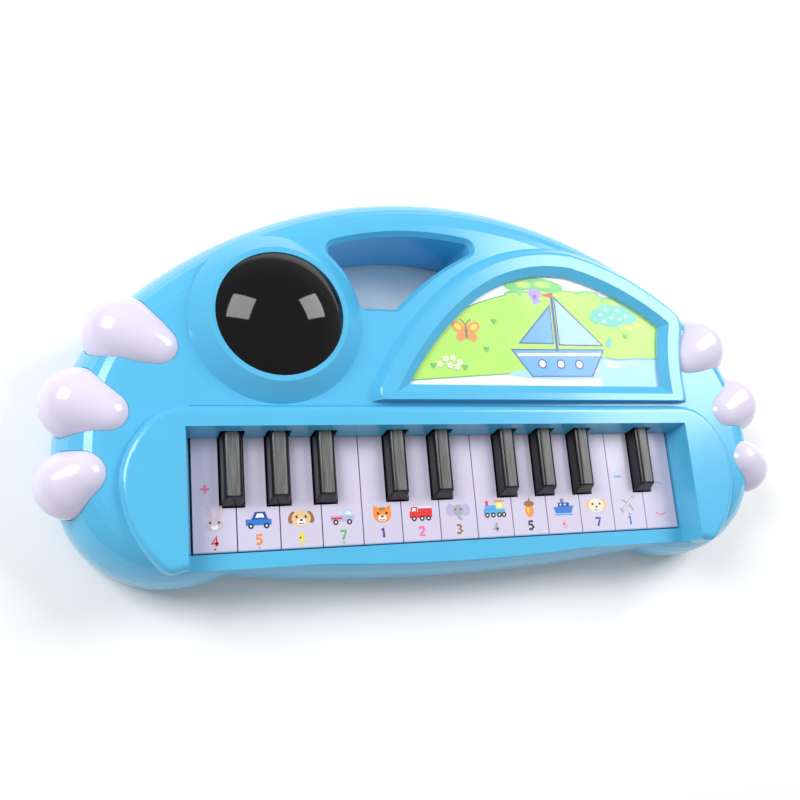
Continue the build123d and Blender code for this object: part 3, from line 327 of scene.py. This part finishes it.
switch_black = moulded("switch_black", (0.02, 0.02, 0.022), roughness=0.3, marks=0.15, clouding=0.2)
wire_red = moulded("wire_red", (0.55, 0.02, 0.02), roughness=0.4, marks=0.15, clouding=0.1)
for node, material in (
    ("lamp_board", board_tan),
    ("key_contact_board", board_tan),
    ("sound_board", board_tan),
    ("sound_chips", chip_black),
    ("key_contact_mat", rubber_grey),
    ("key_pivot_rod", plated_steel),
    ("speaker_basket", plated_steel),
    ("speaker_cone", cone_paper),
    ("speaker_magnet", magnet_grey),
    ("battery_cells", cell_sleeve),
    ("battery_springs", plated_steel),
    ("battery_plates", plated_steel),
    ("battery_door_screw", plated_steel),
    ("case_screws", plated_steel),
    ("board_screws", plated_steel),
    ("switch_housing", plated_steel),
    ("switch_knob", switch_black),
    ("rubber_feet", rubber_black),
    ("battery_leads", wire_red),
    ("speaker_leads", wire_red),
    ("lamp_leads", wire_red),
):
    wear(node, material)

# ---------------------------------------------------------------------------
# Printed film: a pale sky, a yellow-green meadow, a white path along the bottom
# and a blue pond on the right, each worked out from the film's own plan.


HILL_X, HILL_TOP, HILL_BOW = 0.0575, 0.0389, 4.4
PATH_X, PATH_Y, PATH_SLOPE = -0.008, -0.0040, 0.075
BANK_X, BANK_LEAN = 0.0735, 0.22
SHORE_Y = 0.0090
LINE_HILL, LINE_PATH, LINE_SHORE = 0.0006, 0.0006, 0.0008
RIPPLE = 0.004


def film_material():
    """Colour by plan place in metres: meadow where y < y0 + rise - bow * (x - x0)^2,
    path where y < path line, pond where x > bank and y < shore, with soft waves."""
    material = bpy.data.materials.new("film_print")
    material.use_nodes = True
    tree = material.node_tree
    n = tree.nodes
    link = tree.links.new
    shader = n["Principled BSDF"]
    shader.inputs["Roughness"].default_value = 0.35
    where = n.new("ShaderNodeTexCoord")
    split = n.new("ShaderNodeSeparateXYZ")
    link(where.outputs["Object"], split.inputs[0])
    wave = n.new("ShaderNodeTexNoise")
    wave.inputs["Scale"].default_value = 55.0
    link(where.outputs["Object"], wave.inputs["Vector"])

    def number(operation, first, second, third=None):
        node = n.new("ShaderNodeMath")
        node.operation = operation
        for socket, value in zip(node.inputs, (first, second, third)):
            if value is None:
                continue
            if isinstance(value, (int, float)):
                socket.default_value = value
            else:
                link(value, socket)
        return node.outputs[0]

    def mixed(mask, under, over):
        node = n.new("ShaderNodeMix")
        node.data_type = "RGBA"
        link(mask, node.inputs["Factor"])
        for socket, value in ((node.inputs[6], under), (node.inputs[7], over)):
            if isinstance(value, tuple):
                socket.default_value = (*value, 1)
            else:
                link(value, socket)
        return node.outputs[2]

    x = split.outputs["X"]
    y = split.outputs["Y"]
    ripple = number("MULTIPLY_ADD", wave.outputs["Fac"], RIPPLE, y)
    hill_x = number("SUBTRACT", x, HILL_X)
    hill_drop = number("MULTIPLY", number("MULTIPLY", hill_x, hill_x), HILL_BOW)
    hill = number("LESS_THAN", number("ADD", y, hill_drop), HILL_TOP + LINE_HILL)
    crest = number("LESS_THAN", number("ADD", y, hill_drop), HILL_TOP)
    path_line = number("MULTIPLY_ADD", number("SUBTRACT", x, PATH_X), PATH_SLOPE, PATH_Y)
    path = number("LESS_THAN", y, path_line)
    path_edge = number("LESS_THAN", y, number("ADD", path_line, LINE_PATH))
    bank = number("GREATER_THAN", number("MULTIPLY_ADD", ripple, BANK_LEAN, x), BANK_X)
    shore = number("LESS_THAN", ripple, SHORE_Y)
    shore_edge = number("LESS_THAN", ripple, SHORE_Y + LINE_SHORE)
    pond = number("MULTIPLY", bank, shore)
    pond_edge = number("MULTIPLY", bank, shore_edge)
    tone = n.new("ShaderNodeMix")
    tone.data_type = "RGBA"
    link(wave.outputs["Fac"], tone.inputs["Factor"])
    tone.inputs[6].default_value = (0.34, 0.76, 0.07, 1)
    tone.inputs[7].default_value = (0.56, 0.86, 0.12, 1)
    colour = mixed(hill, (0.90, 0.93, 0.97), (0.10, 0.42, 0.16))
    colour = mixed(crest, colour, tone.outputs[2])
    colour = mixed(path_edge, colour, (0.10, 0.42, 0.16))
    colour = mixed(path, colour, (0.86, 0.90, 0.97))
    colour = mixed(pond_edge, colour, (0.10, 0.45, 0.55))
    colour = mixed(pond, colour, (0.36, 0.70, 0.93))
    streak = n.new("ShaderNodeTexNoise")
    streak.inputs["Scale"].default_value = 120.0
    stretch = n.new("ShaderNodeVectorMath")
    stretch.operation = "MULTIPLY"
    stretch.inputs[1].default_value = (0.35, 2.2, 1.0)
    link(where.outputs["Object"], stretch.inputs[0])
    link(stretch.outputs["Vector"], streak.inputs["Vector"])
    glint = number("MULTIPLY", number("GREATER_THAN", streak.outputs["Fac"], 0.62), pond)
    colour = mixed(glint, colour, (0.85, 0.93, 1.0))
    link(colour, shader.inputs["Base Color"])
    return material


wear("picture_film", film_material())

# Clear plate: a thin acrylic plate over the film, glossy, hardly tinting it.
plate_clear = moulded(
    "plate_clear", (0.95, 0.98, 1.0), roughness=0.03, marks=0.03, bump=0.01, Alpha=0.07
)
wear("picture_window", plate_clear)

# ---------------------------------------------------------------------------
# Printed inks: every printed mark is a thin closed patch of ink, coloured by an
# attribute of its own mesh and slightly uneven, as a pad print is.


def ink_material():
    """Base colour is the mesh's ink colour times a slow noise near one."""
    material = bpy.data.materials.new("print_ink")
    material.use_nodes = True
    tree = material.node_tree
    shader = tree.nodes["Principled BSDF"]
    ink = tree.nodes.new("ShaderNodeVertexColor")
    ink.layer_name = "ink"
    finish = tree.nodes.new("ShaderNodeGroup")
    finish.node_tree = moulded_finish
    finish.inputs["Clouding"].default_value = 0.10
    finish.inputs["Roughness"].default_value = 0.30
    finish.inputs["Marks"].default_value = 0.10
    finish.inputs["Scale"].default_value = 900.0
    tree.links.new(ink.outputs["Color"], finish.inputs["Color"])
    tree.links.new(finish.outputs["Color"], shader.inputs["Base Color"])
    tree.links.new(finish.outputs["Roughness"], shader.inputs["Roughness"])
    return material


print_ink = ink_material()
INK = {
    "black": (0.02, 0.02, 0.03),
    "white": (0.92, 0.93, 0.96),
    "red": (0.80, 0.03, 0.04),
    "orange": (0.93, 0.30, 0.05),
    "yellow": (0.95, 0.78, 0.03),
    "green": (0.10, 0.55, 0.12),
    "purple": (0.10, 0.03, 0.30),
    "pink": (0.92, 0.20, 0.38),
    "rose": (0.86, 0.46, 0.55),
    "brown": (0.34, 0.16, 0.08),
    "grey": (0.42, 0.42, 0.47),
    "fur": (0.62, 0.56, 0.58),
    "tan": (0.85, 0.58, 0.30),
    "cream": (0.90, 0.80, 0.62),
    "navy": (0.03, 0.07, 0.32),
    "blue": (0.03, 0.20, 0.68),
    "sky": (0.10, 0.42, 0.85),
    "pale": (0.40, 0.70, 0.95),
    "lavender": (0.50, 0.48, 0.72),
    "leaf": (0.12, 0.60, 0.12),
    "lime": (0.45, 0.75, 0.10),
    "teal": (0.10, 0.62, 0.52),
    "violet": (0.42, 0.30, 0.80),
}


def oval(x, y, wide, high, turn=0.0, count=20):
    """Points (x + a cos t cos u - b sin t sin u, y + a cos t sin u + b sin t cos u)."""
    t = np.linspace(0, 2 * np.pi, count, endpoint=False)
    u = math.radians(turn)
    a = wide / 2 * np.cos(t)
    b = high / 2 * np.sin(t)
    return np.stack([x + a * np.cos(u) - b * np.sin(u), y + a * np.sin(u) + b * np.cos(u)], axis=1)


def ribbon(points, width):
    """Outline of a line drawn with the given width: each point moved by half the
    width along the mean of its neighbours' normals, out on one side, back on the other."""
    line = np.array(points, float)
    steps = np.diff(line, axis=0)
    steps /= np.linalg.norm(steps, axis=1)[:, None]
    normals = np.stack([-steps[:, 1], steps[:, 0]], axis=1)
    mean = np.vstack([normals[:1], normals[:-1] + normals[1:], normals[-1:]])
    mean /= np.maximum(np.linalg.norm(mean, axis=1), 0.4)[:, None]
    return np.vstack([line + mean * width / 2, (line - mean * width / 2)[::-1]])


def box_shape(x, y, wide, high):
    """A rectangle given by its middle and size."""
    left, right = x - wide / 2, x + wide / 2
    below, above = y - high / 2, y + high / 2
    return np.array([(left, below), (right, below), (right, above), (left, above)])


def area_sign(points):
    """+1 for a counter-clockwise outline: sum of x_i y_(i+1) - x_(i+1) y_i."""
    following = np.roll(points, -1, axis=0)
    return np.sign((points[:, 0] * following[:, 1] - following[:, 0] * points[:, 1]).sum())


INK_SUNK = 0.00001


def print_piece(name, marks, place, top, body, layer=0.00001, first=0.00003):
    """A piece made of flat closed patches: each mark (ink, outline in mm) becomes a
    prism from the printed surface to first + layer * its order above it."""
    verts, faces, inks = [], [], []
    for order, (ink, outline) in enumerate(marks):
        ring = np.asarray(outline, float)
        if area_sign(ring) < 0:
            ring = ring[::-1]
        count = len(ring)
        plan = ring * 0.001 + np.array(place)
        height = top + first + layer * order
        start = len(verts)
        verts += [(x, y, top - INK_SUNK) for x, y in plan] + [(x, y, height) for x, y in plan]
        faces.append([start + i for i in range(count)][::-1])
        faces.append([start + count + i for i in range(count)])
        for i in range(count):
            j = (i + 1) % count
            faces.append((start + i, start + j, start + count + j, start + count + i))
        inks += [(*INK[ink], 1.0)] * (2 * count)
    mesh = bpy.data.meshes.new(name)
    mesh.from_pydata(verts, [], faces)
    colour = mesh.color_attributes.new("ink", "FLOAT_COLOR", "POINT")
    colour.data.foreach_set("color", np.array(inks, np.float32).ravel())
    piece = bpy.data.objects.new(name, mesh)
    bpy.context.scene.collection.objects.link(piece)
    mesh.materials.append(print_ink)
    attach(piece, body)
    return piece


# ---------------------------------------------------------------------------
# Picture marks: a tree with a violet trunk, a blue sailing boat, an orange
# butterfly, bushes and flowers, all printed on the film under the plate.
film_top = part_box("picture_film")[1].z
key_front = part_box("white_key_01")[0].y
marks = []
for x, y, wide, high in ((44, 112.9, 26, 6.4), (35, 111.6, 12, 5.6), (53, 111.8, 13, 5.6)):
    marks.append(("leaf", oval(x, y, wide, high)))
for x, y, wide in ((39, 112.4, 8), (49, 112.8, 9)):
    marks.append(("lime", oval(x, y, wide, 3)))
marks.append(("violet", ribbon([(44.5, 109.6), (44.0, 106.6), (45.0, 103.6)], 4.2)))
marks.append(("violet", oval(44.3, 108.4, 7.0, 4.6)))
marks.append(("purple", oval(44.2, 106.8, 1.4, 1.8)))
for x, y, wide in ((33, 107.4, 9), (72, 109.3, 13), (84, 106.6, 10)):
    marks.append(("leaf", oval(x, y, wide, 3.6)))
    marks.append(("lime", oval(x, y - 0.6, wide - 2, 2.6)))
# sailing boat: hull, mast, two sails, a pennant and its shadow on the water
marks.append(("pale", oval(52, 70.2, 50, 5.0)))
marks.append(("navy", [(29.0, 81.6), (77.5, 82.6), (69.5, 69.2), (38.0, 68.8)]))
marks.append(("sky", [(30.0, 81.0), (76.5, 82.0), (69.0, 69.8), (38.4, 69.4)]))
marks.append(("white", ribbon([(32.0, 79.0), (75.0, 80.0)], 1.3)))
marks.append(("navy", ribbon([(52.5, 81.0), (52.8, 109.0)], 1.3)))
marks.append(("navy", [(53.8, 107.6), (77.4, 84.0), (53.6, 83.8)]))
marks.append(("pale", [(54.3, 106.0), (76.0, 84.6), (54.2, 84.4)]))
marks.append(("navy", [(51.4, 103.6), (33.0, 84.2), (51.2, 84.4)]))
marks.append(("sky", [(50.9, 102.0), (34.4, 84.8), (50.7, 85.0)]))
marks.append(("red", [(52.8, 109.0), (52.8, 106.4), (46.8, 107.8)]))
for x in (44.0, 53.5, 63.0):
    marks.append(("navy", oval(x, 75.0, 4.6, 4.6)))
    marks.append(("white", oval(x, 75.0, 3.2, 3.2)))
# butterfly
for side in (-1, 1):
    marks.append(("orange", oval(8.0 + side * 3.6, 91.0, 6.8, 4.8, side * 35)))
    marks.append(("orange", oval(8.0 + side * 2.8, 86.6, 4.6, 4.0, side * -35)))
    marks.append(("yellow", oval(8.0 + side * 3.8, 91.2, 3.6, 2.4, side * 35)))
    feeler = [(8.0, 92.0), (8.0 + side * 1.4, 94.0), (8.0 + side * 2.6, 94.6)]
    marks.append(("brown", ribbon(feeler, 0.5)))
marks.append(("brown", oval(8.0, 89.0, 1.2, 7.0)))
# bushes: overlapping rounds with pale flowers
for x, y, wide in ((76.5, 98.4, 9), (82, 101.2, 11), (89, 101.0, 10), (94, 98.0, 7), (85, 97.2, 19)):
    marks.append(("teal", oval(x, y, wide, 7.2)))
for x, y in (
    (78, 99.4),
    (81, 102.0),
    (83.6, 98.2),
    (87.4, 101.8),
    (88, 97.6),
    (91.6, 99.4),
    (79.6, 96.4),
):
    marks.append(("white", oval(x, y, 1.5, 1.4)))
for x, y, wide in ((91.5, 93.0, 10), (97.5, 94.4, 9)):
    marks.append(("lime", oval(x, y, wide, 4.6)))
    marks.append(("yellow", oval(x + 1, y + 0.4, 4, 1.6)))
marks.append(("teal", oval(80.5, 86.0, 3.0, 5.0, -20)))
# flowers at the lower left, and tufts of grass
for x, y in ((-6.0, 74.0), (-3.0, 76.4), (0.4, 76.8), (3.6, 75.0), (-1.2, 73.4), (2.0, 72.8)):
    for petal in range(5):
        angle = 2 * math.pi * petal / 5
        petal_x, petal_y = x + 0.9 * math.cos(angle), y + 0.9 * math.sin(angle)
        marks.append(("white", oval(petal_x, petal_y, 1.2, 1.0, count=10)))
    marks.append(("yellow", oval(x, y, 0.9, 0.9, count=10)))
for x, y in ((-9.0, 72.2), (5.8, 71.6), (17.0, 80.0), (22.0, 93.0), (90.0, 88.0)):
    for lean in (-1.2, 0.0, 1.2):
        marks.append(("leaf", ribbon([(x, y), (x + lean, y + 2.2)], 0.45)))
print_piece("picture_marks", marks, (0.0, key_front), film_top, "case", layer=0.000003)

# ---------------------------------------------------------------------------
# Key prints: a small picture and a number on each white key, and the signs for
# louder and softer on the first and last but one.


def face_marks(head, ear, pointed):
    """A round animal face of no particular kind: ears, head, muzzle, eyes, nose."""
    made = []
    for side in (-1, 1):
        if pointed:
            made.append((ear, [(side * 3.6, 0.6), (side * 3.3, 3.6), (side * 1.0, 2.4)]))
        else:
            made.append((ear, oval(side * 3.4, 0.4, 2.6, 4.6, side * 20)))
    made.append((head, oval(0, 0, 7.0, 5.8)))
    made.append(("white", oval(0, -1.2, 3.2, 2.4)))
    for side in (-1, 1):
        made.append(("black", oval(side * 1.7, 0.6, 0.9, 1.0, count=12)))
    made.append(("black", oval(0, -0.6, 1.2, 0.8, count=12)))
    made.append(("black", ribbon([(-0.9, -1.7), (0, -2.0), (0.9, -1.7)], 0.3)))
    return made


def road_marks(body, cab, wheels, roof):
    """A car or lorry seen from its side: body, cab, windows and wheels."""
    made = [(body, [(-4.6, -1.8), (4.6, -1.8), (4.6, 0.4), (-4.6, 0.4)])]
    made.append((cab, roof))
    centre = np.mean(roof, axis=0)
    made.append(("white", (np.array(roof) - centre) * 0.55 + centre))
    for x in wheels:
        made.append(("black", oval(x, -2.0, 2.0, 2.0)))
        made.append(("white", oval(x, -2.0, 0.8, 0.8, count=12)))
    return made


ear_marks = []
for side in (-1, 1):
    ear_marks.append(("fur", oval(side * 1.8, 3.2, 1.8, 5.0, side * -12)))
    ear_marks.append(("rose", oval(side * 1.8, 3.2, 0.8, 3.6, side * -12)))
rabbit = ear_marks + [
    ("fur", oval(0, -0.8, 6.0, 5.0)),
    ("white", oval(0, -1.8, 2.6, 1.8)),
    ("black", oval(-1.5, -0.2, 0.8, 0.9, count=12)),
    ("black", oval(1.5, -0.2, 0.8, 0.9, count=12)),
    ("rose", oval(0, -1.2, 0.8, 0.6, count=12)),
]
car = road_marks("blue", "navy", (-2.8, 2.8), [(-2.6, 0.3), (3.4, 0.3), (2.4, 3.0), (-1.2, 3.0)])
van = road_marks("lavender", "pale", (-2.6, 2.6), [(0.6, 0.3), (4.4, 0.3), (3.4, 2.2), (0.6, 2.2)])
van.append(("red", box_shape(-2.2, -0.6, 4.0, 0.7)))
lorry = road_marks("red", "red", (-2.8, 0.4, 3.0), [(-4.4, 0.3), (-1.4, 0.3), (-1.4, 2.4), (-3.6, 2.4)])
lorry.append(("red", box_shape(1.8, 1.0, 5.6, 1.4)))
lorry.append(("white", ribbon([(-0.8, 2.2), (4.4, 2.2)], 0.5)))
driver_cab = [(0.8, 0.3), (3.8, 0.3), (3.8, 3.2), (0.8, 3.2)]
train = road_marks("sky", "yellow", (-3.2, -0.6, 2.0, 4.0), driver_cab)
train += [("sky", box_shape(-1.6, 1.0, 4.6, 1.6)), ("red", box_shape(-3.0, 2.6, 1.0, 1.8))]
train.append(("orange", box_shape(2.3, 3.4, 4.0, 0.6)))
cat = face_marks("orange", "orange", True)
cat += [("brown", ribbon([(x, 2.6), (x * 0.8, 1.6)], 0.5)) for x in (-0.9, 0.0, 0.9)]
elephant = [("lavender", oval(side * 3.2, 0.6, 3.8, 4.8)) for side in (-1, 1)]
elephant.append(("grey", oval(0, 0.4, 4.4, 4.6)))
elephant.append(("grey", ribbon([(0, -0.6), (0.3, -2.4), (1.4, -3.2)], 1.2)))
elephant += [("black", oval(x, 0.8, 0.6, 0.6, count=12)) for x in (-1.1, 1.1)]
acorn = [
    ("orange", oval(0, -0.8, 3.8, 5.4)),
    ("brown", oval(0, 1.8, 4.6, 2.4)),
    ("brown", ribbon([(0, 2.6), (0.3, 4.0)], 0.7)),
    ("yellow", oval(-0.6, -0.8, 1.0, 2.6)),
]
ship = [
    ("blue", [(-4.6, 0.0), (4.8, 0.4), (3.4, -2.6), (-3.6, -2.6)]),
    ("navy", box_shape(0.2, 0.9, 5.2, 1.6)),
    ("white", oval(-1.2, 0.9, 0.8, 0.8, count=12)),
    ("white", oval(0.8, 0.9, 0.8, 0.8, count=12)),
    ("blue", box_shape(-0.4, 2.4, 1.4, 1.8)),
    ("red", box_shape(-0.4, 3.0, 1.4, 0.5)),
    ("sky", ribbon([(-4.0, -3.1), (4.0, -3.1)], 0.5)),
]
plane = [
    ("grey", ribbon([(-3.6, -3.0), (3.2, 3.2)], 1.1)),
    ("grey", ribbon([(-2.8, 1.8), (0.2, 0.2), (2.2, -2.6)], 0.9)),
    ("grey", ribbon([(-4.2, -1.6), (-2.6, -3.4)], 0.7)),
    ("white", ribbon([(-2.8, -2.3), (2.6, 2.6)], 0.35)),
]
t = np.linspace(0.25, 0.75, 9) * np.pi
arcs = [
    ("sky", ribbon(np.stack([3.6 * np.cos(t), 5.0 + 3.6 * np.sin(t)], axis=1), 0.5)),
    ("pink", ribbon(np.stack([3.6 * np.cos(t), -1.4 - 3.6 * np.sin(t)], axis=1), 0.5)),
]
pictures = (
    rabbit,
    car,
    face_marks("tan", "brown", False),
    van,
    cat,
    lorry,
    elephant,
    train,
    acorn,
    ship,
    face_marks("cream", "tan", False),
    plane,
    arcs,
)
# Numbers as lines in a box one wide and one high.
STROKES = {
    1: [[(0.2, 0.82), (0.55, 1.0), (0.55, 0.0)]],
    2: [[(0.02, 0.78), (0.2, 0.96), (0.6, 1.0), (0.9, 0.75), (0.6, 0.4), (0.06, 0.04), (1.0, 0.04)]],
    3: [[(0.05, 0.92), (0.5, 1.0), (0.9, 0.78), (0.5, 0.54), (0.95, 0.28), (0.5, 0.0), (0.0, 0.1)]],
    4: [[(0.72, 0.0), (0.72, 1.0), (0.02, 0.3), (1.05, 0.3)]],
    5: [[(0.95, 0.98), (0.18, 0.98), (0.12, 0.58), (0.6, 0.62), (0.95, 0.3), (0.55, 0.0), (0.02, 0.1)]],
    6: [[(0.85, 0.96), (0.4, 0.88), (0.05, 0.35), (0.4, 0.0), (0.92, 0.22), (0.6, 0.54), (0.15, 0.38)]],
    7: [[(0.0, 0.97), (0.98, 0.97), (0.4, 0.0)]],
}
NUMBERS = (
    (4, "red", -1),
    (5, "orange", -1),
    (6, "yellow", -1),
    (7, "green", -1),
    (1, "purple", 0),
    (2, "pink", 0),
    (3, "brown", 0),
    (4, "grey", 0),
    (5, "black", 0),
    (6, "rose", 0),
    (7, "navy", 0),
    (1, "blue", 1),
)
DIGIT_WIDE, DIGIT_HIGH, DIGIT_LINE = 2.4, 3.6, 0.95
for index, drawing in enumerate(pictures, start=1):
    low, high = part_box(f"white_key_{index:02d}")
    middle = (low.x + high.x) / 2
    marks = [(ink, np.asarray(outline, float) * 1.1 + (0, 11.8)) for ink, outline in drawing]
    if index <= len(NUMBERS):
        digit, ink, dot = NUMBERS[index - 1]
        for line in STROKES[digit]:
            points = [((x - 0.5) * DIGIT_WIDE, 2.6 + y * DIGIT_HIGH) for x, y in line]
            marks.append((ink, ribbon(points, DIGIT_LINE)))
        if dot:
            marks.append((ink, oval(0, 1.4 if dot < 0 else 7.2, 0.8, 0.8, count=12)))
    if index == 1:
        marks.append(("pink", ribbon([(-5.0, 24.6), (-1.6, 24.6)], 0.8)))
        marks.append(("pink", ribbon([(-3.3, 22.9), (-3.3, 26.3)], 0.8)))
    if index == 12:
        marks.append(("sky", ribbon([(-5.2, 24.6), (-2.0, 24.6)], 0.8)))
    print_piece(f"key_print_{index:02d}", marks, (middle, low.y), high.z, f"white_key_{index:02d}_lever")
